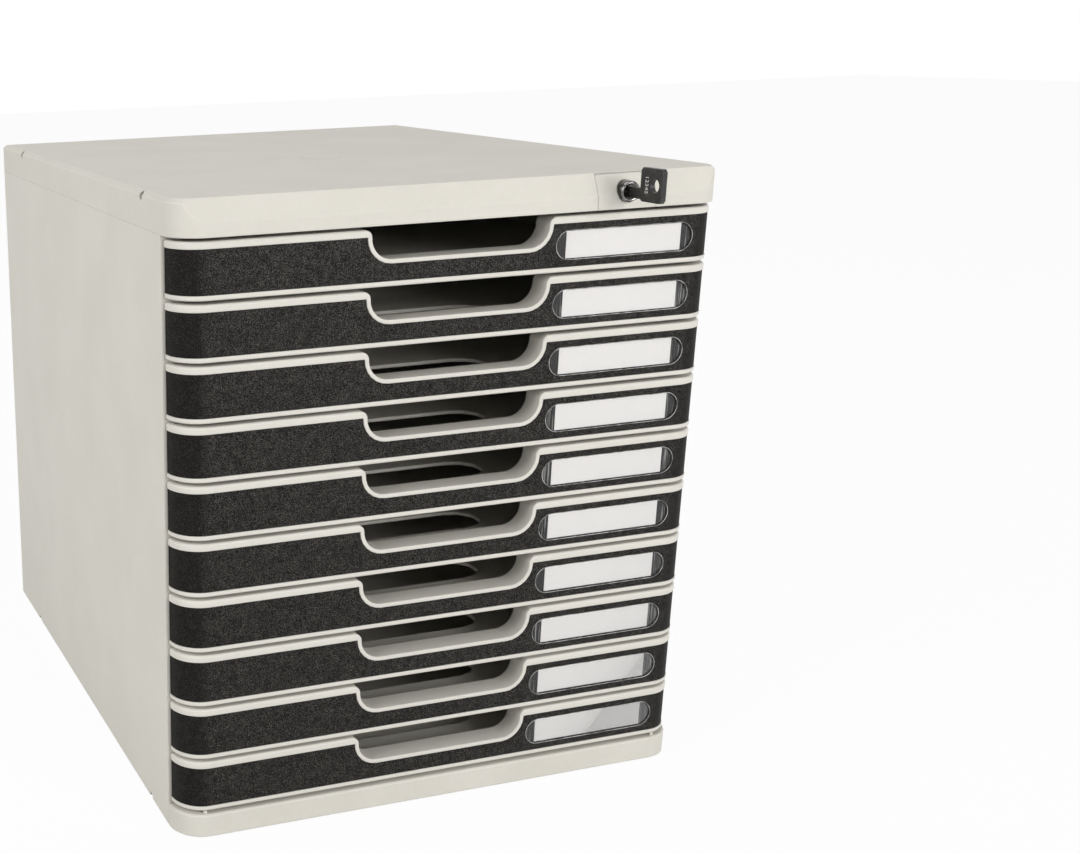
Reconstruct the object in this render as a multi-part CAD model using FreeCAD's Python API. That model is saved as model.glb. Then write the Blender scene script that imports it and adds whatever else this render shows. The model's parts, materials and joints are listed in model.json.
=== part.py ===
import FreeCAD, Part
import os
from math import cos, radians, sin, sqrt
from FreeCAD import Vector

# Desktop file drawer: a moulded plastic cabinet that holds ten A4 drawers behind one lock.
# Millimetres. X runs to the right, Y from the front to the back, Z up.
# The origin lies on the table, under the middle of the cabinet.

# ---------------------------------------------------------------- driving dimensions
cabinet_width = 288.0
cabinet_depth = 350.0
drawer_count = 10
drawer_pitch = 28.8          # height that one drawer takes in the stack
reveal = 1.8                 # open gap above and below each drawer front
base_height = 12.8           # front lip of the base, from the table
cover_height = 17.4          # front and sides of the top cover
corner_radius = 17.0         # upright front corners of base, fronts and cover
foot_proud = 0.8             # how far the rubber feet lift the housing off the table

wall = 2.6                   # skirts and side panels
cover_plate = 2.4            # top plate of the cover
cover_slope_depth = 5.0      # leaning upper part of the cover's front, front to back
cover_slope_drop = 11.0      # and how far it falls
top_edge_chamfer = 2.0
skirt_tongue = 6.0           # tongue of a side panel inside the cover's skirt
tongue_wall = 2.2
fit_gap = 0.15               # between moulded pieces that locate each other
slide_gap = 0.3              # between a drawer's runner and its rib
rib_wall = 1.6
rib_depth = 5.0
cover_rib_pitch = 60.0

stack_notch_radius = 2.1     # stacking sockets in the sides, octagons near the top and bottom
stack_notch_depth = 4.5
stack_notch_level = 2.4      # their centres from the edge
stack_notch_inset = 46.0     # from the front and back faces

front_inset = 1.3            # drawer fronts lie this far inside the cover's outline
front_section = 12.2         # depth of the hollow drawer front
front_shell = 2.0
rim_top = 3.4                # pale rims around the dark front panel
rim_bottom = 2.4
rim_step = 0.3               # panel face behind the rims
panel_thickness = 1.4
rim_round = 0.7

scoop_window_gap = 2.2       # between the finger scoop and the label window
scoop_bottom = 10.8          # lowest line of the scoop above the drawer's underside
scoop_radius = 12.4
scoop_rim = 2.0              # pale lip inside the panel's cut
scoop_lip_radius = 3.6       # where the lip rolls over into the top rim

window_length = 76.0         # label window, a slot with round ends
window_height = 14.2
window_thickness = 0.7
window_land = 0.8            # the clear plate reaches this far behind the panel
window_end_margin = 16.0     # from the window to the side of the front
card_end_margin = 6.0        # clear ends of the window beside the card
card_edge_margin = 0.5
card_thickness = 0.3

tray_side_space = 20.0       # from the side of the cabinet to the tray's wall
tray_wall = 1.8
tray_floor = 1.8
tray_lift = 1.2              # tray underside above the underside of the front
tray_side_height = 22.2
tray_back_space = 6.4        # from the tray to the back panel
tray_corner = 3.0            # bevel of the rear corners
runner_reach = 6.6           # runner flange beside the tray
runner_thickness = 1.6
drawer_travel = 240.0
stop_lug_length = 8.0
finger_hole_inset = 2.5      # ends of the floor's finger hole inside the ends of the scoop
finger_hole_width = 26.0

hole_flats = 5               # flats that stand for a half circle at the ends of the floor's hole
window_flats = 8             # the same at the ends of a label window
scoop_flats = 6              # flats of a quarter circle where the panel meets the scoop's lip
hidden_flats = 3             # and at the round corners that no one sees
finger_hole_setback = 26.5   # from the back of the front section

return_width = 10.0          # inward flange at the front edge of a side panel
return_thickness = 2.4
rib_front_gap = 11.0         # rib ends behind the side panel's front edge
rib_reach = 15.0             # guide rib, from the wall inwards
rib_thickness = 2.0
guide_front_length = 60.0    # short upper guide that keeps a drawn tray level

back_rib_count = 4
foot_size = 14.0             # square rubber pads, one in the middle and four near the corners
foot_inset = 22.0
lip_pip_width = 1.8          # spacer pips on the base lip, under the lowest front
lip_pip_inset = 14.5

lock_side_distance = 57.0    # from the lock's axis to the side of the cabinet
lock_below_top = 9.0
insert_half_width = 16.0
insert_lap = 3.0             # of its flanges on either side of the seam
barrel_radius = 5.2
barrel_bevel = 0.6
barrel_proud = 2.2           # in front of the cover's face
barrel_length = 18.2
insert_shell = 1.5
plug_radius = 3.3
plug_gap = 0.1
plug_proud = 0.3
plug_tail = 0.8
tail_width = 3.0             # square tail that carries the cam
keyway_gap = 0.15
cam_half_width = 2.2
cam_thickness = 2.4
cam_throw = 4.2
cam_pin_radius = 1.3
cam_pin_length = 4.4

bar_thickness = 2.8
bar_depth = 5.6
bar_gap = 0.4
bar_foot = 3.2               # lower end above the base lip
arm_thickness = 2.4
arm_half_height = 3.0
arm_end_reach = 7.0          # arm beyond the lock's axis
slot_clearance = 0.3
lug_reach = 6.6
lug_height = 4.0
lug_rest_height = 2.9        # above the underside of a drawer front, unlocked
tab_reach = 7.0
tab_thickness = 2.0
tab_height = 6.0
tab_bottom = 8.0
tab_gap = 1.0
keeper_height = 2.0
keeper_wall = 1.6

key_blade_thickness = 1.6
key_blade_height = 4.4
key_blade_length = 13.6
key_tip = 2.0
key_neck_length = 8.5
key_neck_height = 5.2
key_bow_length = 16.0
key_blade_seat = 6.0         # blade held inside the bow
key_bow_height = 16.0
key_bow_below = 3.5          # of the bow below the lock's axis
key_bow_thickness = 2.4
key_bow_corner = 1.4
key_hole_radius = 3.2
key_hole_inset = 5.5

# ---------------------------------------------------------------- derived places
half_width = cabinet_width / 2
front = -cabinet_depth / 2
back = cabinet_depth / 2
cover_bottom = base_height + reveal + drawer_count * drawer_pitch
cabinet_height = cover_bottom + cover_height
front_height = drawer_pitch - reveal
side_front = front + corner_radius
side_inner = half_width - wall
back_inner = back - wall

front_face = front + front_inset
front_half_width = half_width - front_inset
front_radius = corner_radius - front_inset
scoop_half_width = front_half_width - window_end_margin - window_length - scoop_window_gap
tray_half_width = half_width - tray_side_space
section_back = front_face + front_section
cheek_back = side_front - slide_gap - fit_gap
recess = panel_thickness + rim_step
tray_back = back_inner - tray_back_space

flange_bottom = tray_lift + tray_side_height - runner_thickness
flange_top = flange_bottom + runner_thickness
rib_top = flange_bottom - slide_gap
rib_start = side_front + rib_front_gap
rib_end = back_inner
guide_bottom = flange_top + slide_gap
lug_front = tray_back - stop_lug_length
guide_end = lug_front - drawer_travel - slide_gap

lock_x = half_width - lock_side_distance
lock_z = cabinet_height - lock_below_top
barrel_front = front - barrel_proud
barrel_back = barrel_front + barrel_length
plug_front = barrel_front - plug_proud
cam_front = barrel_back + plug_tail
cam_back = cam_front + cam_thickness
pin_x = lock_x + cam_throw * cos(radians(45))
pin_z = lock_z - cam_throw * sin(radians(45))
bar_travel = 2 * cam_throw * sin(radians(45))

bar_inner = half_width - return_width + bar_gap
bar_outer = bar_inner + bar_thickness
bar_front = side_front + return_thickness + bar_gap
bar_back = bar_front + bar_depth
key_front = barrel_front - key_neck_length

EXTRA = 5.0                  # how far a cutting tool runs past the surface it cuts


def drawer_base(index):
    """Height of the underside of a drawer front; drawer 1 is the top one."""
    return base_height + reveal + (drawer_count - index) * drawer_pitch


# ---------------------------------------------------------------- shape helpers
def box(x0, x1, y0, y1, z0, z1):
    return Part.makeBox(x1 - x0, y1 - y0, z1 - z0, Vector(x0, y0, z0))


def rod(radius, y0, y1, x, z):
    """A round bar along Y."""
    return Part.makeCylinder(radius, y1 - y0, Vector(x, y0, z), Vector(0, 1, 0))


def prism(edges, direction):
    return Part.Face(Part.Wire(edges)).extrude(direction)


def arc(centre, radius, start, end, to_point, flats=0):
    """Edges from one angle to another, in the plane that to_point maps into: one arc or flats."""
    count = flats or 2
    turns = [radians(start + (end - start) * k / count) for k in range(count + 1)]
    points = [to_point(centre[0] + radius * cos(t), centre[1] + radius * sin(t)) for t in turns]
    if flats:
        return [Part.makeLine(a, b) for a, b in zip(points, points[1:])]
    return [Part.Arc(*points).toShape()]


def front_outline(inset, y_back, z0, z1, flats=0):
    """Upright block with round front corners, inset from the outline of the cabinet."""
    x = half_width - inset
    y = front + inset
    r = corner_radius - inset
    y_end = max(y_back, y + r) + EXTRA

    def at(u, v):
        return Vector(u, v, z0)

    edges = [Part.makeLine(at(-x, y_end), at(-x, y + r)),
             *arc((-x + r, y + r), r, 180, 270, at, flats),
             Part.makeLine(at(-x + r, y), at(x - r, y)),
             *arc((x - r, y + r), r, 270, 360, at, flats),
             Part.makeLine(at(x, y + r), at(x, y_end)),
             Part.makeLine(at(x, y_end), at(-x, y_end))]
    block = prism(edges, Vector(0, 0, z1 - z0))
    return block.cut(box(-x - 1, x + 1, y_back, y_end + 1, z0 - 1, z1 + 1))


def scoop_tool(z0, rim, lip, top, y0, y1, flats=0):
    """The finger scoop as a bar along Y; rim narrows it, lip rolls its upper corners outwards."""
    a = scoop_half_width - rim
    r = scoop_radius - rim
    zb = z0 + scoop_bottom + rim
    zt = z0 + top

    def at(u, v):
        return Vector(u, y0, v)

    edges = [Part.makeLine(at(-a, zt - lip), at(-a, zb + r)),
             *arc((-a + r, zb + r), r, 180, 270, at, flats),
             Part.makeLine(at(-a + r, zb), at(a - r, zb)),
             *arc((a - r, zb + r), r, 270, 360, at, flats),
             Part.makeLine(at(a, zb + r), at(a, zt - lip)),
             Part.makeLine(at(a + lip, zt), at(a + lip, zt + EXTRA)),
             Part.makeLine(at(a + lip, zt + EXTRA), at(-a - lip, zt + EXTRA)),
             Part.makeLine(at(-a - lip, zt + EXTRA), at(-a - lip, zt))]
    if lip:
        left_roll = arc((-a - lip, zt - lip), lip, 90, 0, at)
        right_roll = arc((a + lip, zt - lip), lip, 180, 90, at)
        edges = left_roll + edges[:-3] + right_roll + edges[-3:]
    return prism(edges, Vector(0, y1 - y0, 0))


def slot_tool(length, height, x, z, y0, y1, flats=0):
    """A bar along Y whose section is a slot with round ends."""
    r = height / 2
    h = length / 2 - r

    def at(u, v):
        return Vector(x + u, y0, z + v)

    edges = [*arc((-h, 0), r, 90, 270, at, flats),
             Part.makeLine(at(-h, -r), at(h, -r)),
             *arc((h, 0), r, -90, 90, at, flats),
             Part.makeLine(at(h, r), at(-h, r))]
    return prism(edges, Vector(0, y1 - y0, 0))


def polygon(points, direction):
    """A prism over a closed row of points."""
    return prism([Part.makeLine(a, b) for a, b in zip(points, points[1:] + points[:1])], direction)


def floor_hole(z0, z1):
    """Upright tool for the finger hole in a tray's floor."""
    y = section_back + finger_hole_setback + finger_hole_width / 2
    r = finger_hole_width / 2
    h = scoop_half_width - finger_hole_inset - r
    step = 180 / hole_flats
    turns = [radians(k * step - 90) for k in range(hole_flats + 1)]
    right = [Vector(h + r * cos(t), y + r * sin(t), z0) for t in turns]
    left = [Vector(-p.x, 2 * y - p.y, z0) for p in right]
    return polygon(right + left, Vector(0, 0, z1 - z0))


def rear_corners(shape):
    """The upright edges at the back of a tray."""
    return [e for e in shape.Edges if e.BoundBox.ZLength > 1 and e.BoundBox.YLength < 0.01
            and e.BoundBox.YMin > 0]


def save(name, shape):
    shape = shape.removeSplitter()
    assert shape.isValid() and shape.Solids, name
    shape.exportStep("parts/" + name + ".step")
    print(name, len(shape.Solids), round(shape.Volume / 1000, 2), "cm3")


# ---------------------------------------------------------------- drawers
def drawer_front(z0):
    """Hollow front with rims, panel recess and finger scoop."""
    top = z0 + front_height
    block = front_outline(front_inset, section_back, z0, top)
    cheeks = front_outline(front_inset, cheek_back, z0, top)
    cheek_inner = front_half_width - front_shell - recess
    cheeks = cheeks.cut(box(-cheek_inner, cheek_inner, front_face, back, z0, top))
    shape = block.fuse(cheeks)
    bands = [e for e in shape.Edges
             if e.BoundBox.ZLength < 0.01 and e.BoundBox.YMin < cheek_back - 1
             and (e.BoundBox.YMax < front_face + 0.01 or e.Curve.TypeId == "Part::GeomCircle")]
    shape = shape.makeChamfer(rim_round, bands)
    ring = front_outline(front_inset - EXTRA, cheek_back + EXTRA, z0 + rim_bottom, top - rim_top)
    ring = ring.cut(front_outline(front_inset + recess, cheek_back + EXTRA * 2, z0, top, hidden_flats))
    ring = ring.cut(scoop_tool(z0, 0, 0, front_height - rim_top, front - EXTRA, section_back,
                               scoop_flats))
    pocket = front_pocket(z0 - EXTRA, top - front_shell)
    pocket = pocket.cut(box(-scoop_half_width, scoop_half_width, front, section_back,
                            z0 + scoop_bottom, top))
    shape = shape.cut(ring).cut(pocket)
    return shape.cut(scoop_tool(z0, scoop_rim, scoop_lip_radius, front_height, front - EXTRA, back))


def front_pocket(z_low, z_high):
    """Hollow inside the drawer front, with slanted ends behind the round corners."""
    y_near = front_face + recess + front_shell
    y_far = section_back - front_shell
    r = front_radius - recess - front_shell
    x_near = front_half_width - front_radius
    x_far = x_near + sqrt(r ** 2 - (r - y_far + y_near) ** 2)
    points = [Vector(-x_far, y_far, z_low), Vector(-x_near, y_near, z_low),
              Vector(x_near, y_near, z_low), Vector(x_far, y_far, z_low)]
    return polygon(points, Vector(0, 0, z_high - z_low))


def drawer_tray(z0):
    low = z0 + tray_lift
    high = low + tray_side_height
    w = tray_half_width
    shell = box(-w, w, section_back - tray_wall, tray_back, low, high)
    shell = shell.makeChamfer(tray_corner, rear_corners(shell))
    hollow = box(-w + tray_wall, w - tray_wall, section_back, tray_back - tray_wall,
                 low + tray_floor, high + EXTRA)
    hollow = hollow.makeChamfer(tray_corner - tray_wall * (2 - sqrt(2)), rear_corners(hollow))
    tray = shell.cut(hollow).cut(floor_hole(low - EXTRA, low + tray_floor + EXTRA))
    runner_front = side_front + return_thickness + slide_gap
    for side in (-1, 1):
        xs = sorted((side * (w - fit_gap), side * (w + runner_reach)))
        tray = tray.fuse(box(xs[0], xs[1], runner_front, tray_back - tray_corner,
                             z0 + flange_bottom, z0 + flange_top))
        tray = tray.fuse(box(xs[0], xs[1], lug_front, tray_back - tray_corner,
                             z0 + flange_bottom, z0 + flange_top + slide_gap + rib_thickness))
    tab_y = bar_back + tab_gap
    tray = tray.fuse(box(w - fit_gap, w + tab_reach, tab_y, tab_y + tab_thickness,
                         z0 + tab_bottom, z0 + tab_bottom + tab_height))
    tray = tray.cut(scoop_tool(z0, scoop_rim, scoop_lip_radius, front_height, front - EXTRA,
                               section_back + EXTRA))
    return tray.fuse(drawer_front(z0))


window_x = front_half_width - window_end_margin - window_length / 2


def window_z(z0):
    return z0 + (rim_bottom + front_height - rim_top) / 2


def front_panel(z0):
    """Dark insert that wraps round both corners, with the scoop and window cut out."""
    low = z0 + rim_bottom + fit_gap
    high = z0 + front_height - rim_top - fit_gap
    band = front_outline(front_inset + rim_step, cheek_back, low, high)
    band = band.cut(front_outline(front_inset + recess - fit_gap, cheek_back + EXTRA,
                                  low - EXTRA, high + EXTRA, hidden_flats))
    band = band.cut(scoop_tool(z0, -fit_gap, 0, front_height - rim_top - fit_gap, front - EXTRA,
                               section_back, scoop_flats))
    band = band.cut(window_plate(z0, 0, window_thickness + card_thickness))
    return band.cut(slot_tool(window_length, window_height, window_x, window_z(z0),
                              front - EXTRA, section_back, window_flats))


def window_plate(z0, gap, depth):
    """The clear plate, or its seat in the back of the panel."""
    half_length = window_length / 2 + window_land - gap
    half_height = window_height / 2 + window_land - gap
    y0 = front_face + recess - card_thickness - window_thickness
    return box(window_x - half_length, window_x + half_length, y0, y0 + depth,
               window_z(z0) - half_height, window_z(z0) + half_height)


def label_window(z0):
    return window_plate(z0, fit_gap, window_thickness)


def label_card(z0):
    half_length = window_length / 2 - card_end_margin
    half_height = window_height / 2 - card_edge_margin
    y1 = front_face + recess
    return box(window_x - half_length, window_x + half_length, y1 - card_thickness, y1,
               window_z(z0) - half_height, window_z(z0) + half_height)


# ---------------------------------------------------------------- housing
def stacking_notches(z):
    """Octagonal cutters for the sockets in both sides."""
    tools = []
    turns = [radians(22.5 + 45 * k) for k in range(8)]
    reach = stack_notch_radius / cos(radians(22.5))
    for side in (-1, 1):
        for y in (front + stack_notch_inset, back - stack_notch_inset - corner_radius / 2):
            points = [Vector(side * (half_width + 1), y + reach * cos(t), z + reach * sin(t))
                      for t in turns]
            tools.append(polygon(points, Vector(-side * (stack_notch_depth + 1), 0, 0)))
    return tools


def side_panel(side):
    """One side of the housing: a wall with a front return and a pair of guides for each drawer."""
    panel = box(side_inner, half_width, side_front, back, foot_proud, cover_bottom)
    panel = panel.fuse(box(half_width - return_width, side_inner + fit_gap, side_front,
                           side_front + return_thickness, base_height, cover_bottom - fit_gap))
    panel = panel.fuse(box(side_inner - tongue_wall - fit_gap, side_inner + fit_gap,
                           bar_back + tab_gap + tab_thickness, back_inner - fit_gap,
                           cover_bottom - skirt_tongue, cover_bottom - fit_gap))
    panel = panel.fuse(box(side_inner - tongue_wall - fit_gap, side_inner - fit_gap,
                           bar_back + tab_gap + tab_thickness, back_inner - 2 * fit_gap,
                           cover_bottom - skirt_tongue, cover_bottom + skirt_tongue))
    for index in range(1, drawer_count + 1):
        z = drawer_base(index)
        panel = panel.fuse(box(half_width - wall - rib_reach, side_inner + fit_gap,
                               rib_start, rib_end - fit_gap,
                               z + rib_top - rib_thickness, z + rib_top))
        panel = panel.fuse(box(half_width - wall - rib_reach, side_inner + fit_gap,
                               rib_start, guide_end,
                               z + guide_bottom, z + guide_bottom + rib_thickness))
    if side < 0:
        panel = panel.mirror(Vector(0, 0, 0), Vector(1, 0, 0))
    else:
        panel = panel.fuse(bar_guides())
    for tool in stacking_notches(foot_proud):
        panel = panel.cut(tool)
    return panel


def bar_guides():
    """Moulded channel of the locking bar: a rear rail, pads behind the bar and hooked keepers."""
    rail_front = bar_back + slide_gap
    rail = box(bar_inner, side_inner + fit_gap, rail_front, rail_front + keeper_wall / 2,
               base_height, cover_bottom - fit_gap)
    shapes = [rail]
    for index in (1, (drawer_count + 1) // 2, drawer_count):
        z0 = drawer_base(index) + flange_top + slide_gap + rib_thickness / 2
        z1 = z0 + keeper_height
        hook = box(bar_inner - slide_gap - keeper_wall, bar_inner - slide_gap, bar_back - bar_depth / 2,
                   rail_front + keeper_wall / 2, z0, z1)
        web = box(bar_inner - slide_gap - keeper_wall, bar_inner + fit_gap, rail_front,
                  rail_front + keeper_wall / 2, z0, z1)
        pad = box(bar_outer + slide_gap, side_inner + fit_gap, bar_front, rail_front + fit_gap, z0, z1)
        shapes.extend((hook, web, pad))
    guides = shapes[0]
    for shape in shapes[1:]:
        guides = guides.fuse(shape)
    return guides


def cover_form(inset, thickness, flats=0):
    """Outer or inner form of the cover: round front corners and a sloped upper front."""
    z1 = cabinet_height - thickness
    form = front_outline(inset, back - inset, cover_bottom, z1, flats)
    y0 = front + inset
    break_z = cabinet_height - cover_slope_drop - thickness
    break_y = front + cover_slope_depth
    run_out = EXTRA * cover_slope_drop / cover_slope_depth
    wedge = [(y0 - EXTRA, break_z - run_out), (break_y + inset, z1),
             (break_y + inset, z1 + EXTRA), (y0 - EXTRA, z1 + EXTRA)]
    corners = [Vector(-half_width - 1, y, z) for y, z in wedge]
    return form.cut(polygon(corners, Vector(cabinet_width + 2, 0, 0)))


def insert_region(gap):
    return box(lock_x - insert_half_width + gap, lock_x + insert_half_width - gap, front - EXTRA,
               front + cover_slope_depth - gap, cover_bottom - EXTRA, cabinet_height + EXTRA)


def barrel_bore(gap):
    return rod(barrel_radius + gap, front - EXTRA, back, lock_x, lock_z)


def top_cover():
    outer = cover_form(0, 0)
    rim = [e for e in outer.Edges if e.BoundBox.ZMin > cabinet_height - 0.01
           and e.BoundBox.YMax > front + cover_slope_depth + 1]
    outer = outer.makeChamfer(top_edge_chamfer, rim)
    cover = outer.cut(cover_form(wall, cover_plate, hidden_flats).fuse(
        front_outline(wall, back_inner, cover_bottom - EXTRA, cover_bottom + 1, hidden_flats)))
    count = int((cabinet_depth / 2 - corner_radius) // cover_rib_pitch)
    rib_low = cabinet_height - cover_plate - rib_depth
    rib_high = cabinet_height - cover_plate + fit_gap
    for k in range(-count, count + 1):
        y = k * cover_rib_pitch
        cover = cover.fuse(box(-side_inner + skirt_tongue, side_inner - skirt_tongue,
                               y, y + rib_wall, rib_low, rib_high))
    for x in (-cover_rib_pitch, cover_rib_pitch):
        cover = cover.fuse(box(x, x + rib_wall, -count * cover_rib_pitch, count * cover_rib_pitch,
                               rib_low, rib_high))
    cover = cover.cut(insert_region(0)).cut(barrel_bore(fit_gap))
    for tool in stacking_notches(cabinet_height - stack_notch_level):
        cover = cover.cut(tool)
    return cover


def lock_insert():
    """Piece of the cover's front that carries the lock, with lapped side flanges."""
    skin = cover_form(0, 0).common(insert_region(fit_gap))
    skin = skin.cut(cover_form(wall, cover_plate))
    boss_half = barrel_radius + insert_shell
    boss = cover_form(0, 0).common(box(lock_x - boss_half, lock_x + boss_half, front,
                                       front + cover_slope_depth - fit_gap - insert_shell,
                                       cover_bottom, cabinet_height))
    piece = skin.fuse(boss)
    flange_front = front + wall + fit_gap
    flange_top = cabinet_height - cover_slope_drop - cover_plate
    for side in (-1, 1):
        inner = lock_x + side * (insert_half_width - insert_lap)
        lapped = lock_x + side * (insert_half_width + insert_lap)
        seam = lock_x + side * (insert_half_width - fit_gap)
        flange = box(min(inner, lapped), max(inner, lapped), flange_front, flange_front + rib_wall,
                     cover_bottom, flange_top)
        web = box(min(inner, seam), max(inner, seam), front + wall - fit_gap, flange_front + rib_wall,
                  cover_bottom, flange_top)
        piece = piece.fuse(flange).fuse(web)
    return piece.cut(barrel_bore(fit_gap / 3))


def base():
    """Floor of the housing with its rounded front lip, open from below."""
    lip = front_outline(0, side_front - fit_gap, foot_proud, base_height)
    plate = box(-side_inner + fit_gap, side_inner - fit_gap, side_front - 1, back_inner - fit_gap,
                foot_proud, base_height)
    shape = lip.fuse(plate)
    rims = [e for e in shape.Edges if e.BoundBox.ZMin > base_height - 0.01 and e.BoundBox.ZLength < 0.01
            and (e.BoundBox.YMax < front + 0.01 or e.Curve.TypeId == "Part::GeomCircle")]
    shape = shape.makeChamfer(rim_round, rims)
    hollow = front_outline(wall, back_inner - wall, foot_proud - EXTRA, base_height - wall, hidden_flats)
    hollow = hollow.common(box(-side_inner + wall, side_inner - wall, front, back,
                               0 - EXTRA, base_height))
    shape = shape.cut(hollow)
    shape = shape.cut(box(-side_inner + 2 * wall, side_inner - 2 * wall,
                          section_back, back_inner - 2 * wall,
                          base_height - wall / 3, base_height + EXTRA))
    count = int((cabinet_depth / 2 - corner_radius) // cover_rib_pitch)
    for k in range(-count, count + 1):
        y = k * cover_rib_pitch
        shape = shape.fuse(box(-side_inner + wall - fit_gap, side_inner - wall + fit_gap,
                               y, y + rib_wall,
                               base_height - wall - rib_depth, base_height - wall + fit_gap))
    for side in (-1, 1):
        x = side * (half_width - lip_pip_inset)
        shape = shape.fuse(box(x - lip_pip_width / 2, x + lip_pip_width / 2, front_face + 1,
                               front_face + 1 + lip_pip_width, base_height - fit_gap,
                               base_height + reveal - slide_gap))
    for x, y in foot_places():
        h = foot_size / 2 + rib_wall
        shape = shape.fuse(box(x - h, x + h, y - h, y + h, foot_proud, base_height - wall + fit_gap))
    return shape


def foot_places():
    """Four feet near the corners and one under the middle, where the floor could sag."""
    corners = [(sx * (side_inner - foot_inset), y) for sx in (-1, 1)
               for y in (front + foot_inset + corner_radius / 2, back_inner - foot_inset)]
    return corners + [(0.0, 0.0)]


def rubber_feet():
    h = foot_size / 2
    return Part.Compound([box(x - h, x + h, y - h, y + h, 0, foot_proud) for x, y in foot_places()])


def back_panel():
    """Rear wall between the side panels, with shallow upright ribs inside."""
    w = side_inner - fit_gap
    panel = box(-w, w, back_inner, back, foot_proud, cover_bottom)
    bay = 2 * w / (back_rib_count + 1)
    for k in range(1, back_rib_count + 1):
        x = -w + k * bay
        panel = panel.fuse(box(x - rib_wall / 2, x + rib_wall / 2,
                               back_inner - wall, back_inner + fit_gap,
                               base_height + fit_gap, cover_bottom - skirt_tongue))
    return panel


# ---------------------------------------------------------------- lock
def lock_barrel():
    barrel = rod(barrel_radius, barrel_front, barrel_back, lock_x, lock_z)
    rim = [e for e in barrel.Edges if e.BoundBox.YMax < barrel_front + 0.01]
    barrel = barrel.makeChamfer(barrel_bevel, rim)
    return barrel.cut(rod(plug_radius + plug_gap, barrel_front - 1, barrel_back + 1, lock_x, lock_z))


def lock_plug():
    """Round plug with a keyway in front and a square tail behind."""
    plug = rod(plug_radius, plug_front, cam_front, lock_x, lock_z)
    plug = plug.fuse(tail_tool(tail_width / 2, cam_front - fit_gap))
    half_t = key_blade_thickness / 2 + keyway_gap
    half_h = key_blade_height / 2 + keyway_gap
    return plug.cut(box(lock_x - half_t, lock_x + half_t, plug_front - 1,
                        barrel_front + key_blade_length + slide_gap, lock_z - half_h, lock_z + half_h))


def tail_tool(half_side, y0):
    return box(lock_x - half_side, lock_x + half_side, y0, cam_back,
               lock_z - half_side, lock_z + half_side)


def lock_cam():
    """Short lever on the plug's tail; its pin points 45 degrees below the axis when unlocked."""
    cam = box(lock_x - cam_half_width, lock_x + cam_throw + cam_pin_radius, cam_front, cam_back,
              lock_z - cam_half_width, lock_z + cam_half_width)
    cam = cam.fuse(rod(cam_pin_radius, cam_back - fit_gap, cam_back + cam_pin_length,
                       lock_x + cam_throw, lock_z))
    cam.rotate(Vector(lock_x, 0, lock_z), Vector(0, 1, 0), 45)
    return cam.cut(tail_tool((tail_width + plug_gap) / 2, cam_front - 1))


def locking_bar():
    """Angled bar: an arm at the lock, an upright bar beside the trays and a lug for each drawer."""
    arm_low = pin_z - arm_half_height
    arm_high = pin_z + arm_half_height
    bar = box(bar_inner, bar_outer, bar_front, bar_back, base_height + bar_foot, arm_high)
    bar = bar.fuse(box(lock_x - arm_end_reach, bar_outer, arm_front(), arm_front() + arm_thickness,
                       arm_low, arm_high))
    slide = cam_throw * (1 - cos(radians(45)))
    slot = slot_tool(2 * (cam_pin_radius + slot_clearance + slide), 2 * (cam_pin_radius + slot_clearance),
                     pin_x + slide / 2, pin_z, arm_front() - 1, arm_front() + arm_thickness + 1)
    bar = bar.cut(slot)
    for index in range(1, drawer_count + 1):
        z = drawer_base(index) + lug_rest_height
        bar = bar.fuse(box(bar_inner - lug_reach, bar_inner + fit_gap, bar_front + fit_gap,
                           bar_back - fit_gap, z, z + lug_height))
    return bar


def arm_front():
    return cam_back + slide_gap


# ---------------------------------------------------------------- key
def key_blade():
    half_t = key_blade_thickness / 2
    tip = barrel_front + key_blade_length
    y0 = key_front - key_blade_seat
    low = lock_z - key_blade_height / 2
    high = lock_z + key_blade_height / 2
    points = [(y0, low), (tip - key_tip, low), (tip, lock_z), (tip - key_tip, high), (y0, high)]
    blade = polygon([Vector(lock_x - half_t, y, z) for y, z in points], Vector(key_blade_thickness, 0, 0))
    groove = key_blade_thickness / 3
    return blade.cut(box(lock_x - half_t - 1, lock_x - half_t + groove, barrel_front - 2, tip + 1,
                         lock_z - groove, lock_z + groove))


def key_bow():
    """Plastic head, set higher than the blade, with a neck and a ring hole."""
    half_t = key_bow_thickness / 2
    y0 = key_front - key_bow_length
    low = lock_z - key_bow_below
    bow = box(lock_x - half_t, lock_x + half_t, y0, key_front, low, low + key_bow_height)
    corners = [e for e in bow.Edges if e.BoundBox.XLength > key_bow_thickness / 2
               and e.BoundBox.YLength < 0.01 and e.BoundBox.ZLength < 0.01]
    bow = bow.makeChamfer(key_bow_corner, corners)
    neck = box(lock_x - half_t, lock_x + half_t, key_front - 1, barrel_front - plug_proud - slide_gap,
               lock_z - key_neck_height / 2, lock_z + key_neck_height / 2)
    bow = bow.fuse(neck)
    hole = Part.makeCylinder(key_hole_radius, key_bow_thickness + 2,
                             Vector(lock_x - half_t - 1, y0 + key_hole_inset, low + key_bow_height / 2),
                             Vector(1, 0, 0))
    half_b = key_blade_thickness / 2
    core = box(lock_x - half_b, lock_x + half_b, key_front - key_blade_seat, barrel_front + 1,
               lock_z - key_blade_height / 2, lock_z + key_blade_height / 2)
    return bow.cut(hole).cut(core)


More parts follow.
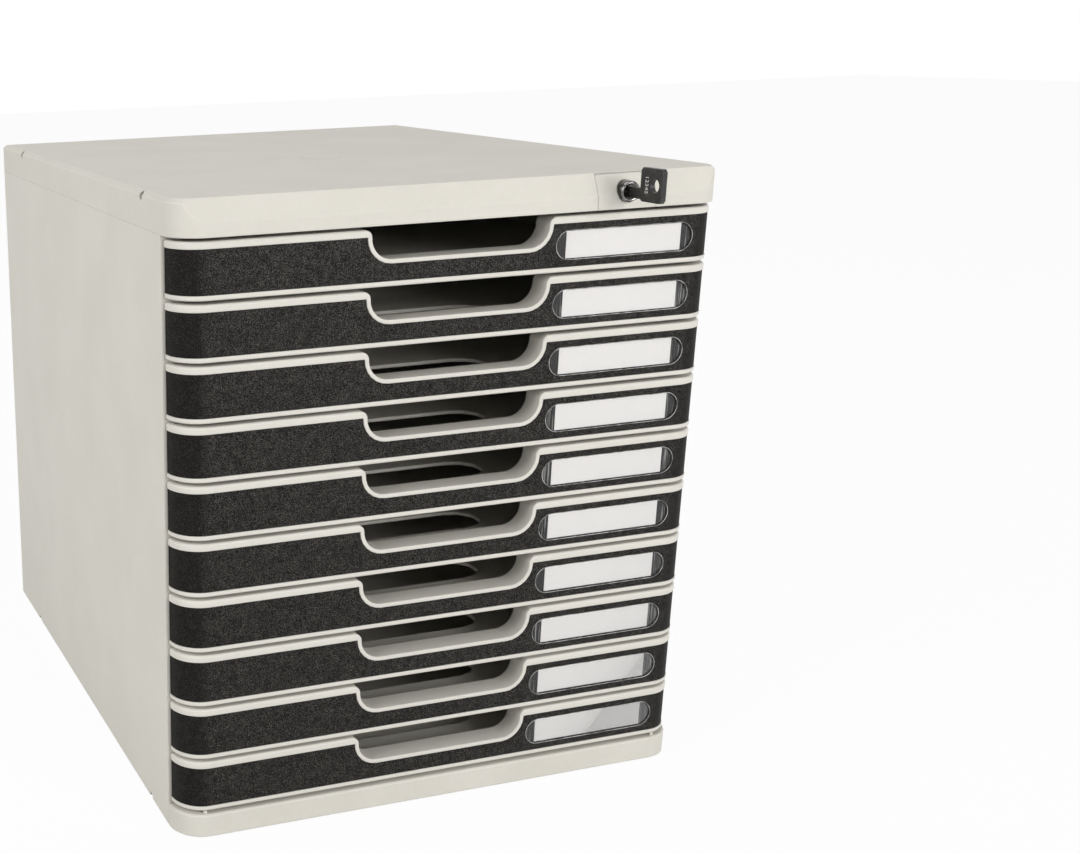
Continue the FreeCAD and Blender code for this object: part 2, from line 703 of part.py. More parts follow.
# ---------------------------------------------------------------- write the pieces
os.makedirs("parts", exist_ok=True)
for number in range(1, drawer_count + 1):
    level = drawer_base(number)
    tag = "_%02d" % number
    save("drawer_tray" + tag, drawer_tray(level))
    save("front_panel" + tag, front_panel(level))
    save("label_window" + tag, label_window(level))
    save("label_card" + tag, label_card(level))
save("left_side_panel", side_panel(-1))
save("right_side_panel", side_panel(1))
save("top_cover", top_cover())
save("lock_insert", lock_insert())
save("base", base())
save("back_panel", back_panel())
save("rubber_feet", rubber_feet())
save("lock_barrel", lock_barrel())
save("lock_plug", lock_plug())
save("lock_cam", lock_cam())
save("locking_bar", locking_bar())
save("key_blade", key_blade())
save("key_bow", key_bow())
print("height", round(cabinet_height, 2), "locking bar travel", round(bar_travel, 3))
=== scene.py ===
# %% [markdown]
# # A desktop file drawer in moulded plastic
# This lesson dresses a ready-made cabinet with ten drawers. The shapes of the cabinet come
# from its CAD model, which is loaded first and never moved. What Blender adds is finish:
# grained plastic, a clear lens over each label, a chrome lock and a key with its number.

# %% Load the cabinet
import json
from math import cos, pi, radians, sin

import bmesh
import bpy
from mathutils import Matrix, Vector

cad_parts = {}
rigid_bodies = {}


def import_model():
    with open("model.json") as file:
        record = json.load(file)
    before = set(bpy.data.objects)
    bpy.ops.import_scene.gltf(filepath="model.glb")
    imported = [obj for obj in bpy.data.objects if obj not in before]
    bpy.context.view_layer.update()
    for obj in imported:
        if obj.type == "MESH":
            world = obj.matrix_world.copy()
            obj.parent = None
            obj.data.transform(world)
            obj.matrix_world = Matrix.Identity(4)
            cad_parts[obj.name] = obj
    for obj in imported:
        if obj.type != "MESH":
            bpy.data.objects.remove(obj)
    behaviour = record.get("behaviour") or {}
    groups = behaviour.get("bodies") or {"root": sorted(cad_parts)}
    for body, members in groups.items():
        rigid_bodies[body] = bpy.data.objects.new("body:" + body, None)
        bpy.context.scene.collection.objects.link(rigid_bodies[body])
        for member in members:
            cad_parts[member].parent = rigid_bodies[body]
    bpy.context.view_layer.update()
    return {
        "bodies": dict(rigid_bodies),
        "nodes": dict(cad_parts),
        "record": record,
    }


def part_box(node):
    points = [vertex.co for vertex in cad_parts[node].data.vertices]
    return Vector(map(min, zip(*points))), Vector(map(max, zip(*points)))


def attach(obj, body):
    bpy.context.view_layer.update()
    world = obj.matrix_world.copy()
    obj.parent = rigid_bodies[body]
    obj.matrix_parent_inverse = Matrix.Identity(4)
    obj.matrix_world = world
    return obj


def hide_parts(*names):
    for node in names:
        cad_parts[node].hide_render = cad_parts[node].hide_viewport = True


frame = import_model()
nodes = frame["nodes"]
drawers = sorted(body for body in frame["bodies"] if body.startswith("drawer_"))

# %% [markdown]
# ## The camera
# The cabinet is seen from the front and a little from its left, from just above its top.
# A camera could be aimed at the middle of the cabinet. Here it looks towards the front's
# left edge, and a sideways lens shift brings the whole cabinet back into the frame, as on a
# view camera. What lies far from the line of sight, such as the lock, then looks a little
# wider than it is.

# %% Camera
MM = 0.001
CAMERA_PLACE = (-345.7, -773.7, 395.5)
CAMERA_TURN = (73.78, 1.66, -15.45)
FOCAL_LENGTH = 47.58
LENS_SHIFT = (0.419, 0.0121)


def show(made):
    bpy.context.scene.collection.objects.link(made)
    return made


view = bpy.data.cameras.new("view_camera")
view.sensor_width = 36
view.sensor_fit = "HORIZONTAL"
view.lens = FOCAL_LENGTH
view.shift_x, view.shift_y = LENS_SHIFT
view.clip_start, view.clip_end = 0.05, 50
camera = show(bpy.data.objects.new("view_camera", view))
camera.location = [v * MM for v in CAMERA_PLACE]
camera.rotation_euler = [radians(a) for a in CAMERA_TURN]
bpy.context.scene.camera = camera
bpy.context.scene.view_settings.view_transform = "Standard"
print("camera at", tuple(round(v, 3) for v in camera.location))

# %% [markdown]
# ## Light and surroundings
# Pale plastic shows its edges best in a soft light with a clear direction. A single lamp
# would leave black shadows between the drawers, and light from all sides would flatten
# them. So one wide lamp stands in front on the right and a second one lights the left side,
# a weak one hangs above the top, and the world fills the shadows evenly. The world and the
# floor look white to the camera, but they light the cabinet with much less than that.

# %% Lamps
def lamp(name, place, target, size, power):
    data = bpy.data.lights.new(name, "AREA")
    data.shape = "RECTANGLE"
    data.size, data.size_y = size
    data.energy = power
    made = show(bpy.data.objects.new(name, data))
    made.location = place
    made.rotation_euler = (Vector(target) - Vector(place)).to_track_quat("-Z", "Y").to_euler()
    return made


lamps = [lamp("front_lamp", (0.75, -2.1, 0.80), (0, 0, 0.16), (1.3, 1.0), 31),
         lamp("side_lamp", (-2.0, -0.5, 1.3), (0, 0, 0.16), (1.2, 1.2), 25.5),
         lamp("top_lamp", (0.1, 0.5, 1.9), (0, 0, 0.2), (1.4, 1.4), 6.5)]
print("lamps:", ", ".join(f"{one.name} {one.data.energy:g} W" for one in lamps))

# %% [markdown]
# ## Writing shader maths as Python
# A material in Blender is a graph of nodes joined by links. Building it by hand takes many
# lines for each sum. A small class can wrap a socket, so that a + b adds the Math node that
# does the sum and gives back its output. The same class has one method, node, that adds
# any other kind of node: first its settings, then the values or links of its sockets.

# %% Sockets that calculate
class Wire:
    """A socket of a material's graph that can be used in sums."""

    def __init__(self, tree, socket):
        self.tree = tree
        self.socket = socket

    def feed(self, socket, value):
        """Links a wire to a socket, or sets the socket's own value."""
        if isinstance(value, Wire):
            self.tree.links.new(value.socket, socket)
        elif socket.type == "RGBA":
            socket.default_value = (*value, 1.0)
        else:
            socket.default_value = value

    def node(self, kind, settings=None, output=0, **inputs):
        """Adds a node. An input goes by its name, or by its number as in i0 and i1."""
        made = self.tree.nodes.new(kind)
        for name, value in (settings or {}).items():
            setattr(made, name, value)
        for name, value in inputs.items():
            key = int(name[1:]) if name[1:].isdigit() else name.replace("_", " ")
            self.feed(made.inputs[key], value)
        return Wire(self.tree, made.outputs[output])

    def other(self, output):
        """Another output of the node that this wire comes from."""
        return Wire(self.tree, self.socket.node.outputs[output])

    def math(self, operation, *others):
        inputs = {f"i{k}": value for k, value in enumerate((self, *others))}
        return self.node("ShaderNodeMath", {"operation": operation}, **inputs)

    def __add__(self, other):
        return self.math("ADD", other)

    __radd__ = __add__

    def __sub__(self, other):
        return self.math("SUBTRACT", other)

    def __rsub__(self, other):
        return self.node("ShaderNodeMath", {"operation": "SUBTRACT"}, i0=other, i1=self)

    def __mul__(self, other):
        return self.math("MULTIPLY", other)

    __rmul__ = __mul__

    def __pow__(self, other):
        return self.math("POWER", other)

    def smooth(self, low, high):
        """0 below low, 1 above high and a soft step between them."""
        return self.node("ShaderNodeMapRange", {"interpolation_type": "SMOOTHSTEP"},
                         Value=self, From_Min=low, From_Max=high)

    def mix(self, first, second):
        """The colour first where this wire is 0 and second where it is 1."""
        return self.node("ShaderNodeMix", {"data_type": "RGBA"}, output=2,
                         i0=self, i6=first, i7=second)


print("wires can add, subtract, multiply, raise, step and mix")

# %% [markdown]
# ## Starting a finish
# Every finish begins in the same way: an empty graph with one Principled shader. Constants
# such as the gloss of a clear coat belong on the shader's own sockets. Only what changes
# from place to place is wired. All patterns read the object's own coordinates, in metres,
# so grain has its true size and stays on a drawer when the drawer slides. Sharp edges are
# found with a Bevel node: where it turns the normal away from the plain one, there is an
# edge, which can be painted a little lighter, for wear and as a painted highlight.

# %% An empty finish
BEVEL_SAMPLES = 4
finishes = {}


class Finish:
    """A material with one Principled shader and patterns of true size."""

    def __init__(self, name, **constants):
        self.material = bpy.data.materials.new(name)
        self.material.use_nodes = True
        self.tree = self.material.node_tree
        self.shader = next(n for n in self.tree.nodes if n.type == "BSDF_PRINCIPLED")
        for key, value in constants.items():
            self.shader.inputs[key.replace("_", " ")].default_value = value
        self.surface = Wire(self.tree, self.shader.outputs[0])
        self.place = self.surface.node("ShaderNodeTexCoord", output="Object")
        self.x = self.place.node("ShaderNodeSeparateXYZ", i0=self.place)
        self.y, self.z = self.x.other("Y"), self.x.other("Z")
        finishes[name] = self.material

    def wire(self, name, value):
        self.place.feed(self.shader.inputs[name], value)

    def noise(self, size, detail=2.0, roughness=0.5, stretch=None):
        """Cloudy noise whose blotches are about size metres wide."""
        where = self.place
        if stretch:
            where = where.node("ShaderNodeVectorMath", {"operation": "MULTIPLY"},
                               i0=where, i1=stretch)
        return where.node("ShaderNodeTexNoise", Vector=where, Scale=1 / size,
                          Detail=detail, Roughness=roughness)

    def away(self, x, y=None, z=None):
        """Distance from the upright line at x and y, or from the line to the back at x and z."""
        beside = self.y - y if z is None else self.z - z
        return ((self.x - x) ** 2 + beside ** 2) ** 0.5

    def rounded(self, width):
        """The normal, turned as if edges were rounded to this radius."""
        return self.place.node("ShaderNodeBevel", {"samples": BEVEL_SAMPLES}, Radius=width)

    def edge(self, width):
        """Near 1 on a sharp edge and 0 on a flat face."""
        plain = self.place.node("ShaderNodeNewGeometry", output="Normal")
        alike = self.place.node("ShaderNodeVectorMath", {"operation": "DOT_PRODUCT"},
                                output="Value", i0=self.rounded(width), i1=plain)
        return (1 - alike).smooth(0.004, 0.09)

    def bump(self, height, depth, strength=1.0, edge_width=0.0):
        """Relief of the given depth in metres, over edges that look rounded."""
        inputs = {"Height": height, "Distance": depth, "Strength": strength}
        if edge_width:
            inputs["Normal"] = self.rounded(edge_width)
        self.wire("Normal", self.place.node("ShaderNodeBump", **inputs))


print("a finish starts with one shader and true-size patterns")

# %% [markdown]
# ## Moulded housing plastic
# The cabinet is moulded in warm light grey polystyrene. Up close such a moulding isn't one
# flat colour: the pigment is slightly cloudy, the steel mould leaves a very fine grain, and
# edges that hands touch turn smooth and a little lighter. Three noises at three sizes give
# this: clouds of a few centimetres, a mottle of millimetres and a grain of a quarter of one.
# The lighter edges are partly wear and partly a painted highlight along each rim.

# %% Housing plastic
HOUSING_SHADES = (0.600, 0.580, 0.522), (0.640, 0.618, 0.560)
GRAIN = 0.00026
WORN_AND_LIT_EDGE, EDGE_WEAR_AND_HIGHLIGHT = 0.0008, 1.24
SOFT_EDGE = 0.0010


def moulded_plastic(name, shades, gloss):
    """Colour and gloss of a moulding. Gives back the finish, the mottle and the grain."""
    made = Finish(name, Specular_IOR_Level=0.14)
    clouds = made.noise(0.045, 3)
    mottle = made.noise(0.0032, 2)
    # The edge mask paints edges lighter: partly wear, partly a painted highlight.
    edge = made.edge(WORN_AND_LIT_EDGE)
    colour = (clouds * 0.7 + mottle * 0.3).smooth(0.25, 0.75).mix(*shades)
    colour = (edge * 0.75).mix(colour, [v * EDGE_WEAR_AND_HIGHLIGHT for v in shades[1]])
    made.wire("Base Color", colour)
    made.wire("Roughness", gloss + mottle * 0.1 - edge * 0.12)
    return made, mottle, made.noise(GRAIN, 1)


housing, mottle, grain = moulded_plastic("housing_plastic", HOUSING_SHADES, 0.44)
housing.bump(grain * 0.8 + mottle * 0.2, 0.000030, 0.55, SOFT_EDGE)
print("housing plastic has", len(housing.tree.nodes), "nodes")

# %% [markdown]
# The cover has one more trace of its making: a round, shallow dimple in the middle of the
# top, opposite the gate where the plastic entered the mould. It is less than a millimetre
# deep, too shallow for mesh, so it is relief in the material. The distance from the
# dimple's centre goes through a soft step and feeds the bump together with the grain.

# %% Cover plastic with its dimple
DIMPLE_PLACE = (-0.004, -0.022)
DIMPLE_FLOOR, DIMPLE_RIM = 0.0095, 0.0120
DIMPLE_DEPTH = 0.0008

cover, mottle, grain = moulded_plastic("cover_plastic", HOUSING_SHADES, 0.52)
dimple = cover.away(*DIMPLE_PLACE).smooth(DIMPLE_FLOOR, DIMPLE_RIM)
cover.bump(dimple + grain * 0.035, DIMPLE_DEPTH, 0.9, SOFT_EDGE)
print("dimple", round(DIMPLE_RIM * 2 / MM), "mm wide in the cover")

# %% [markdown]
# ## Drawer plastic
# The drawers are moulded in the same colour but with a smoother, satin finish, so that
# paper slides in. Their rims catch the light as thin bright lines, helped by the painted
# highlight on their edges.

# %% Drawer plastic
TRAY_SHADES = (0.625, 0.604, 0.550), (0.655, 0.634, 0.578)
tray, mottle, grain = moulded_plastic("tray_plastic", TRAY_SHADES, 0.34)
tray.bump(grain * 0.8 + mottle * 0.2, 0.000014, 0.55, SOFT_EDGE)
print("drawer plastic has", len(tray.tree.nodes), "nodes")

# %% [markdown]
# ## Black textured panels
# Each drawer front carries a black insert with a spark-eroded surface: a dense field of
# tiny pits whose rims shine as grey specks. It could be a plain dark colour with a bump,
# but at arm's length the specks are what one sees. So a fine noise is cut at a threshold
# to give specks, a second one varies them, and both drive colour and relief. Their lighter
# colour is partly a painted glint. The specks also carry a glossy coat. Where the insert
# bends round a corner, the specks fade and the panel looks darker: painted shade.

# %% Black panel
CORNER_SHADE_START, CORNER_SHADE_END = 0.0162, 0.0094
panel_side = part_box("front_panel_01")[1].x

panel = Finish("dark_panel", Specular_IOR_Level=0.06, Coat_Roughness=0.42)
sparks = panel.noise(0.00043, 2, 0.75)
broad = panel.noise(0.0035, 2)
# Painted shade: the specks fade on the rounded corner, which gets less light.
corner_shade = panel.x.math("ABSOLUTE").smooth(panel_side - CORNER_SHADE_START, panel_side - CORNER_SHADE_END)
specks = (sparks * 0.90 + broad * 0.10).smooth(0.49, 0.63) * (1 - corner_shade * 0.65)
worn = panel.edge(0.0006)
# The specks' lighter colour is real texture and partly a painted glint.
lightness = specks * 0.85 + worn * 0.22
panel.wire("Base Color", lightness.mix((0.0070, 0.0065, 0.0058), (0.080, 0.075, 0.067)))
panel.wire("Roughness", 0.46 + sparks * 0.16 - worn * 0.08)
panel.wire("Coat Weight", specks * 0.45)
panel.bump(sparks * 0.8 + broad * 0.2, 0.00016, 0.65, 0.0004)
print("panel specks under half a millimetre, faded from x =", round(panel_side - CORNER_SHADE_START, 4))

# %% [markdown]
# ## Label card
# The label is plain uncoated card. Its fibres lie along the sheet, so the noise that tints
# it is squeezed in height.

# %% Card
card = Finish("label_card", Specular_IOR_Level=0.2)
fibre = card.noise(0.0009, 3, 0.6, (1.0, 1.0, 3.0))
card.wire("Base Color", fibre.smooth(0.3, 0.7).mix((0.885, 0.865, 0.845), (0.925, 0.905, 0.885)))
card.wire("Roughness", 0.78 + fibre * 0.1)
card.bump(fibre, 0.00003, 0.4)
print("card ready")

# %% [markdown]
# ## Clear plastic and what lies behind it
# The lens over the card is clear polystyrene, about a millimetre thick. Refraction would
# hardly bend the light in so thin a plate, and would keep the lamps off the card. So
# the lens is see-through by its alpha, which rises on its rolled rim and where it is seen
# at a glance. The rim is also painted pale, a painted highlight. Behind the clear ends lies
# a dark pocket of painted shade, with painted upright streaks of the light the lens throws.

# %% Clear plastic
lens = Finish("clear_window", IOR=1.5, Specular_IOR_Level=0.8)
scuff = lens.noise(0.004, 4, 0.7, (1.0, 1.0, 0.25))
glance = lens.place.node("ShaderNodeFresnel", IOR=1.45)
rim_highlight = lens.edge(0.0003)
# The rim's pale colour is a painted highlight.
haze = scuff.smooth(0.4, 0.8) * 0.2 + rim_highlight * 0.8
lens.wire("Base Color", haze.mix((0.20, 0.20, 0.20), (0.92, 0.92, 0.91)))
lens.wire("Roughness", 0.05 + scuff.smooth(0.45, 0.8) * 0.1)
lens.wire("Alpha", (glance * 0.5 + rim_highlight * 0.6 + 0.02).math("MINIMUM", 0.75))
lens.bump(scuff, 0.00002, 0.3)
print("clear plastic ready")

# %% Dark pocket of painted shade
pocket_shade = Finish("pocket_painted_shade", Specular_IOR_Level=0.3)
streaks = pocket_shade.noise(0.0011, 2, 0.6, (1.0, 1.0, 0.04))
streak_light = streaks.smooth(0.52, 0.72)
# Painted shade, with painted streaks of the light that the lens throws.
pocket_shade.wire("Base Color", streak_light.mix((0.006, 0.006, 0.0058), (0.30, 0.295, 0.285)))
pocket_shade.wire("Roughness", 0.35 + streaks * 0.2)
pocket_shade.bump(streaks, 0.00003, 0.4)
print("streaks about a millimetre apart")

# %% [markdown]
# ## Rubber
# The pads under the base are matt black rubber with fine pores.

# %% Rubber
rubber = Finish("foot_rubber", Specular_IOR_Level=0.25)
pores = rubber.noise(0.0006, 3)
rubber.wire("Base Color", pores.smooth(0.3, 0.7).mix((0.030, 0.030, 0.031), (0.052, 0.052, 0.053)))
rubber.wire("Roughness", 0.72 + pores * 0.15)
rubber.bump(pores, 0.00008, 0.5)
print("rubber ready")

# %% [markdown]
# ## Metals and small plastics
# The lock's barrel is chromed, its plug is painted darker, and the cam that nobody sees is
# zinc-plated steel. Turned metal has fine circular marks, so its pattern follows the distance
# from the lock's axis, with a smear of handling over it that also paints mottled glints. The
# locking bar is acetal and the key's head is glossy black plastic with fine scratches and
# painted highlights along its edges.

# %% Turned metals
lock_low, lock_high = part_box("lock_barrel")
lock_centre = (lock_low + lock_high) / 2


def turned_metal(name, shades, gloss, ring_width):
    made = Finish(name, Metallic=1.0)
    away = made.away(lock_centre.x, z=lock_centre.z)
    rings = (away * (2 * pi / ring_width)).math("SINE") * 0.5 + 0.5
    smear_and_glints = made.noise(0.0016, 3)
    # The smear is partly handling marks and partly painted glints.
    made.wire("Base Color", (smear_and_glints * 0.8 + rings * 0.2).smooth(0.35, 0.65).mix(*shades))
    made.wire("Roughness", gloss + smear_and_glints * 0.12)
    made.bump(rings * 0.3 + smear_and_glints * 0.7, 0.00002, 0.4, 0.00025)


turned_metal("lock_chrome", ((0.045, 0.043, 0.041), (0.340, 0.332, 0.324)), 0.10, 0.00035)
turned_metal("plug_metal", ((0.030, 0.028, 0.026), (0.120, 0.116, 0.112)), 0.20, 0.0003)
turned_metal("spring_steel", ((0.42, 0.42, 0.41), (0.55, 0.55, 0.53)), 0.3, 0.0005)
print("lock axis at", tuple(round(v, 4) for v in lock_centre))

# %% Key blade
blade = Finish("key_steel", Metallic=1.0)
strokes = blade.noise(0.0004, 2, 0.5, (1.0, 0.08, 1.0))
blade.wire("Base Color", strokes.smooth(0.3, 0.7).mix((0.48, 0.47, 0.44), (0.66, 0.65, 0.62)))
blade.wire("Roughness", 0.22 + strokes * 0.15)
blade.bump(strokes, 0.00002, 0.5, 0.0002)
print("blade brushed along its length")

# %% Acetal bar
bar = Finish("bar_plastic", Specular_IOR_Level=0.5)
haze = bar.noise(0.006, 3)
bar.wire("Base Color", haze.smooth(0.3, 0.7).mix((0.70, 0.69, 0.66), (0.78, 0.77, 0.74)))
bar.wire("Roughness", 0.28 + haze * 0.12)
bar.bump(bar.noise(0.0004, 1), 0.00002, 0.4, 0.0004)
print("bar plastic ready")

# %% Key head
head = Finish("key_plastic", Specular_IOR_Level=0.35)
scratch = head.noise(0.0005, 2, 0.7, (1.0, 0.6, 1.0))
# The scratches are real; the lighter edges are a painted highlight.
scratches_and_edge_highlight = scratch.smooth(0.52, 0.66) * 0.6 + head.edge(0.0005) * 0.7
head.wire("Base Color", scratches_and_edge_highlight.mix((0.006, 0.006, 0.006), (0.110, 0.107, 0.102)))
head.wire("Roughness", 0.24 + scratch * 0.16)
head.bump(scratch, 0.00002, 0.4, 0.0006)
print(len(finishes), "finishes ready")

# %% [markdown]
# ## Painting the CAD solids
# Each solid came in with a plain material named after its slot. The record says which slot
# a solid has, so one loop puts the finish of that name in its place. The cover and the lock
# piece take the version with the dimple's relief.

# %% Put the finishes on
slots = {part["node"]: part["material_slot"] for part in frame["record"]["subparts"]}
for name, solid in nodes.items():
    wanted = "cover_plastic" if name in ("top_cover", "lock_insert") else slots[name]
    solid.data.materials.clear()
    solid.data.materials.append(finishes[wanted])
print("painted", len(nodes), "solids")

# %% [markdown]
# ## Rings that make a piece
# Small moulded and turned pieces can be lofted: the outline is drawn several times, each
# time a little further on or a little smaller, and neighbouring rings are joined by faces.
# The last ring either gets a cap or is joined to the first one, which leaves a hole.

# %% Slots and lofts
def slot_ring(centre, y, length, height, steps=12):
    """Points of a slot with round ends, standing upright at depth y."""
    r, h = height / 2, (length - height) / 2
    turns = [radians(-90 + 180 * k / steps) for k in range(steps + 1)]
    right = [(h + r * cos(t), r * sin(t)) for t in turns]
    outline = right + [(-x, -z) for x, z in right]
    return [(centre.x + x, y, centre.z + z) for x, z in outline]


def loft(name, rings, body, finish, smooth=True, ring_shaped=False):
    """Joins rings of points into one piece that rides on a body, with caps or with a hole."""
    mesh = bmesh.new()
    rows = [[mesh.verts.new(point) for point in ring] for ring in rings]
    count = len(rows[0])
    for near, far in zip(rows, rows[1:] + rows[:1] if ring_shaped else rows[1:]):
        for k in range(count):
            mesh.faces.new((near[k], near[(k + 1) % count], far[(k + 1) % count], far[k]))
    if not ring_shaped:
        mesh.faces.new(rows[0][::-1])
        mesh.faces.new(rows[-1])
    bmesh.ops.recalc_face_normals(mesh, faces=mesh.faces)
    for face in mesh.faces:
        face.smooth = smooth and len(face.verts) == 4
    data = bpy.data.meshes.new(name)
    mesh.to_mesh(data)
    mesh.free()
    data.materials.append(finishes[finish])
    piece = show(bpy.data.objects.new(name, data))
    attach(piece, body)
    return piece


print("a slot ring has", len(slot_ring(lock_centre, 0.0, 0.02, 0.01)), "points")

# %% [markdown]
# ## Lenses
# Behind each slot in a black panel sits a clear lens. A flat plate would do from far away,
# but a moulded lens has a rounded rim that draws a thin bright line round the label. It is
# lofted from its flat back plate, which is wider than the slot, to the crown in the slot.

# %% Lenses
PLATE_LAND = 0.00065
LENS_RISE = 0.0004
CARD_GAP = 0.00006

plate_low, plate_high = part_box("label_window_01")
WINDOW_LENGTH = plate_high.x - plate_low.x - 2 * PLATE_LAND
WINDOW_HEIGHT = plate_high.z - plate_low.z - 2 * PLATE_LAND


def lens_rings(low, high):
    """Rings as (depth, growth beyond the slot), from the back plate to the crown."""
    crown = low.y - LENS_RISE
    profile = [(high.y - CARD_GAP, 0.0011), (low.y, 0.0011), (low.y, -0.0003),
               (low.y - LENS_RISE * 0.6, -0.00046), (crown, -0.0010), (crown - 0.0001, -0.0019)]
    return [slot_ring((low + high) / 2, y, WINDOW_LENGTH + grow, WINDOW_HEIGHT + grow)
            for y, grow in profile]


for body in drawers:
    tag = body[-3:]
    rings = lens_rings(*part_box("label_window" + tag))
    piece = loft("window_lens" + tag, rings, body, "clear_window")
    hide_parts("label_window" + tag)
print(len(drawers), "lenses", round(WINDOW_LENGTH / MM, 1), "mm long")

# %% [markdown]
# The edge of a clear moulding gathers light and looks like a fine pale line. Each lens gets
# such a line as a painted highlight: a thin pale bead along its rim, a third of a millimetre
# wide. A brighter edge in the lens's own material would do as well, but a bead also catches
# the lamps as it curves.

# %% Beads round the lenses
BEAD = 0.00030

# Painted highlight: the bead's pale colour stands for light gathered at the lens's edge.
highlight_bead = Finish("lens_bead", Specular_IOR_Level=0.6)
glint = highlight_bead.noise(0.006, 3, 0.6)
highlight_bead.wire("Base Color", glint.smooth(0.35, 0.65).mix((0.16, 0.16, 0.155), (0.62, 0.62, 0.61)))
highlight_bead.wire("Roughness", 0.16 + glint * 0.1)
highlight_bead.bump(glint, 0.00002, 0.3)
for body in drawers:
    tag = body[-3:]
    low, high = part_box("label_window" + tag)
    rings = []
    for turn in range(0, 360, 60):
        out, forward = BEAD / 2 * cos(radians(turn)), BEAD / 2 * sin(radians(turn))
        rings.append(slot_ring((low + high) / 2, low.y - LENS_RISE - forward,
                               WINDOW_LENGTH + 2 * out, WINDOW_HEIGHT + 2 * out, 20))
    loft("lens_bead" + tag, rings, body, "lens_bead", ring_shaped=True)
print(len(drawers), "beads", round(BEAD / MM, 2), "mm wide")

# %% [markdown]
# ## Dark pockets of painted shade
# The card is shorter than the window, so the clear ends look into the hollow front. A thin
# dark sheet, level with the back of the card, stands for that hollow as painted shade. It
# could be left to the shade of the front, but the painted streaks of light that the lens
# throws need a surface to lie on.

# %% Dark pockets of painted shade beside the cards
POCKET_GAP, POCKET_SHEET = 0.00002, 0.0001
for body in drawers:
    tag = body[-3:]
    low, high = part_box("label_card" + tag)
    plate_low, plate_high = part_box("label_window" + tag)
    plate_size = plate_high - plate_low
    rings = [slot_ring((low + high) / 2, high.y - back, plate_size.x, plate_size.z)
             for back in (POCKET_GAP, POCKET_GAP + POCKET_SHEET)]
    loft("card_pocket" + tag, rings, body, "pocket_painted_shade", smooth=False)
print(len(drawers), "pockets")

# %% [markdown]
# ## The lock's bezel
# Round the plug lies a polished ring with a rolled edge. A torus would be a quick stand-in,
# but the real ring has a flat face between two rounded shoulders. It is turned like a part
# on a lathe: a short profile swept round the lock's axis.

# %% Turned ring
BEZEL_PROFILE = [(0.00350, 0.0004), (0.00350, -0.0002), (0.00375, -0.00042),
                 (0.00430, -0.00050), (0.00465, -0.00042), (0.00490, -0.00018),
                 (0.00500, 0.00025), (0.00500, 0.0009), (0.0040, 0.0009)]
BEZEL_SEGMENTS = 64


def lathe_ring(radius, y):
    """A ring of points round the lock's axis, y behind the barrel's face."""
    turns = [radians(360 * k / BEZEL_SEGMENTS) for k in range(BEZEL_SEGMENTS)]
    return [(lock_centre.x + radius * cos(t), lock_low.y + y, lock_centre.z + radius * sin(t))
            for t in turns]


rings = [lathe_ring(radius, y) for radius, y in BEZEL_PROFILE]
loft("lock_bezel", rings, "housing", "lock_chrome", ring_shaped=True)
print("bezel", round(2 * max(radius for radius, y in BEZEL_PROFILE) / MM), "mm across")

# %% [markdown]
# ## The number on the key
# The key's black head carries a small white number, moulded and paint-filled, so that a
# spare can be ordered. Any digits do. Text objects are the simplest way to draw them, with
# a little thickness, so that they catch light as raised digits do.

# %% Key number
DIGIT_SIZE = 0.0032
DIGIT_RELIEF = 0.00006
DIGITS_FROM_REAR = 0.0114

ink = Finish("key_ink", Specular_IOR_Level=0.3)
fading = ink.noise(0.0004, 2)
ink.wire("Base Color", fading.smooth(0.35, 0.7).mix((0.52, 0.52, 0.51), (0.80, 0.80, 0.78)))
ink.wire("Roughness", 0.5 + fading * 0.2)
ink.bump(fading, 0.00002, 0.4)
bow_low, bow_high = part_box("key_bow")


def key_digits(name, side, words="12345"):
    """The number on one face of the key's head: side is 1 on the right, -1 on the left."""
    curve = bpy.data.curves.new(name, "FONT")
    curve.body = words
    curve.size = DIGIT_SIZE
    curve.extrude = DIGIT_RELIEF
    curve.align_x = "CENTER"
    curve.align_y = "CENTER"
    curve.space_character = 1.08
    curve.materials.append(ink.material)
    made = show(bpy.data.objects.new(name, curve))
    made.rotation_euler = (radians(90), radians(-90 * side), radians(90 * side))
    face = bow_high.x if side > 0 else bow_low.x
    made.location = (face + side * DIGIT_RELIEF / 2, bow_low.y + DIGITS_FROM_REAR,
                     (bow_low.z + bow_high.z) / 2)
    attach(made, "key")
    return made


digits = [key_digits("key_digits_left", -1), key_digits("key_digits_right", 1)]
print("key number", digits[0].data.body)

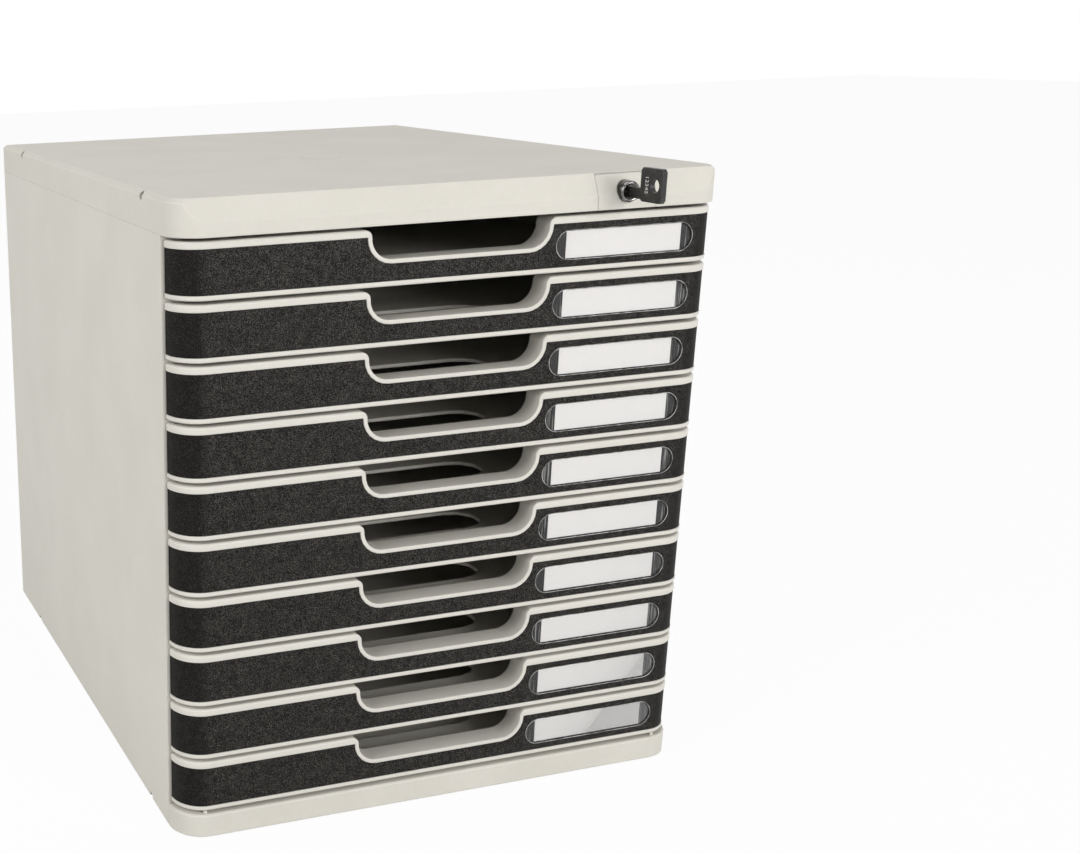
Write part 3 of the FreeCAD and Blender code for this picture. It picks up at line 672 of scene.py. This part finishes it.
# %% [markdown]
# ## Floor and backdrop
# The cabinet stands on a plain white floor that runs on to a white backdrop. To the camera
# and in reflections the floor is mostly a white glow, with enough plain white paint mixed
# in to show the cabinet's soft shadow. To everything else it is white paint alone.

# %% Floor
FLOOR_REACH = 6
FLOOR_GLOW = 0.95


def seen(start):
    """1 for rays of the camera, also mirrored or through glass, and 0 for all others."""
    camera_ray = start.node("ShaderNodeLightPath", output="Is Camera Ray")
    both = camera_ray + camera_ray.other("Is Glossy Ray")
    return (both + camera_ray.other("Is Transmission Ray")).math("MINIMUM", 1.0)


corners = [(x * FLOOR_REACH, y * FLOOR_REACH, 0) for x, y in ((-1, -1), (1, -1), (1, 1), (-1, 1))]
floor_data = bpy.data.meshes.new("floor")
floor_data.from_pydata(corners, [], [(0, 1, 2, 3)])
floor = show(bpy.data.objects.new("floor", floor_data))
paint = Finish("floor_paint", Roughness=0.9, Specular_IOR_Level=0.0)
paint.wire("Base Color", paint.noise(0.05, 2).mix((0.80, 0.80, 0.80), (0.82, 0.82, 0.82)))
glow = paint.place.node("ShaderNodeEmission", Color=(1, 1, 1), Strength=1.0)
blend = paint.place.node("ShaderNodeMixShader", i0=seen(paint.place) * FLOOR_GLOW,
                         i1=paint.surface, i2=glow)
sink = next(n for n in paint.tree.nodes if n.type == "OUTPUT_MATERIAL")
paint.place.feed(sink.inputs["Surface"], blend)
floor_data.materials.append(paint.material)
print("floor", 2 * FLOOR_REACH, "m square")

# %% [markdown]
# The world does the same for the backdrop: white to the camera, in mirrors and through
# glass, and a weaker grey light from all sides for the cabinet itself.

# %% World
WORLD_LIGHT = 0.35

world = bpy.data.worlds.new("studio")
bpy.context.scene.world = world
world.use_nodes = True
back = next(n for n in world.node_tree.nodes if n.type == "BACKGROUND")
sky = Wire(world.node_tree, back.outputs[0])
sky.feed(back.inputs["Color"], (1, 1, 1))
sky.feed(back.inputs["Strength"], seen(sky) * (1 - WORLD_LIGHT) + WORLD_LIGHT)
print("world light", WORLD_LIGHT, "and white to the camera")
